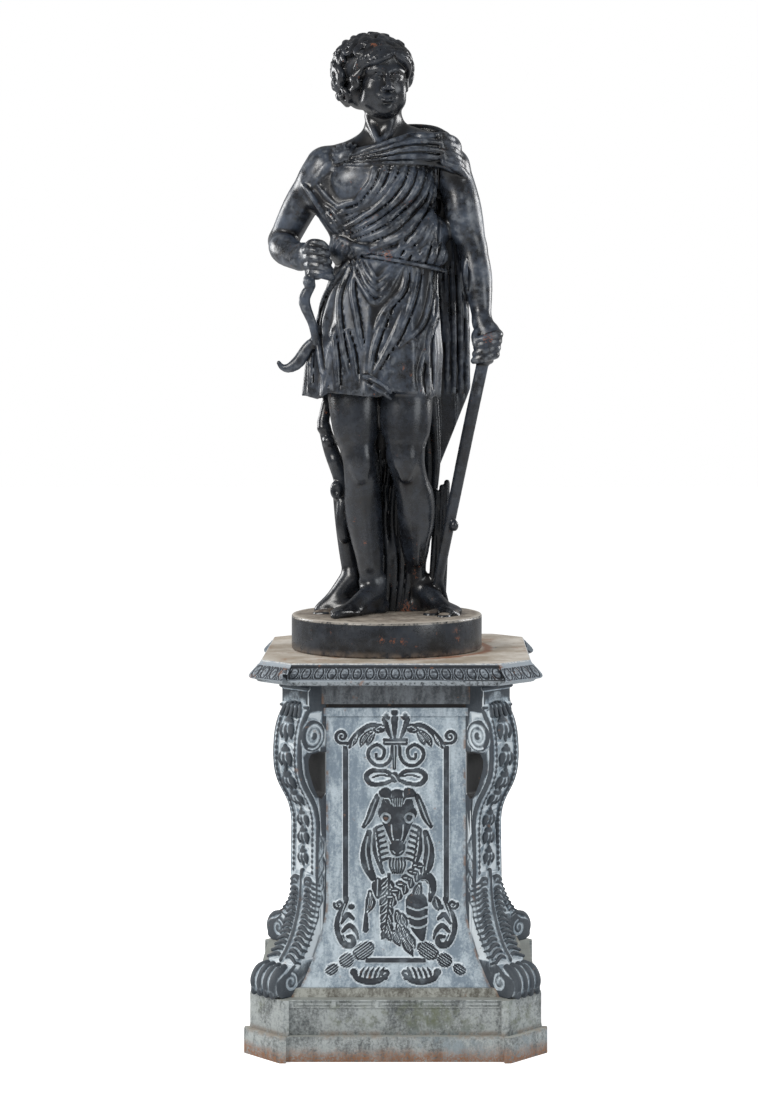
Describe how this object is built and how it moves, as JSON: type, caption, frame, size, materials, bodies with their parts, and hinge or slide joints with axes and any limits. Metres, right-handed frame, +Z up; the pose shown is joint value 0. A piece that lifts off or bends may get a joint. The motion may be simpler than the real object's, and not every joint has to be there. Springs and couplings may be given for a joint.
{
  "type": "garden statue on pedestal",
  "caption": "Cast iron garden statue of a classical youth in belted tunic and cloak with bow and staff, on a scrolled square pedestal.",
  "frame": {"origin": "centre of the footprint, on the underside of the pedestal's lower step", "axes": "+Z up, the figure and the front panel face -Y, +X is to the right of a viewer who faces the front"},
  "size_m": [0.61, 0.61, 2.082],
  "materials": {
    "statue_paint": "worn glossy black paint, dusty, with small rust spots",
    "panel_paint": "weathered pale blue-white ground with dark raised relief",
    "console_paint": "weathered blue-grey with white in the hollows",
    "base_paint": "weathered grey with green moss tint and rust at the foot",
    "cap_paint": "dark blue-grey edge, bleached beige top with rust streaks"
  },
  "bodies": {
    "root": {"statue": "statue_paint", "cap": "cap_paint", "panel_front": "panel_paint", "panel_back": "panel_paint", "panel_left": "panel_paint", "panel_right": "panel_paint", "console_front_left": "console_paint", "console_front_right": "console_paint", "console_back_left": "console_paint", "console_back_right": "console_paint", "plinth_upper": "base_paint", "plinth_lower": "base_paint"}
  },
  "joints": []
}
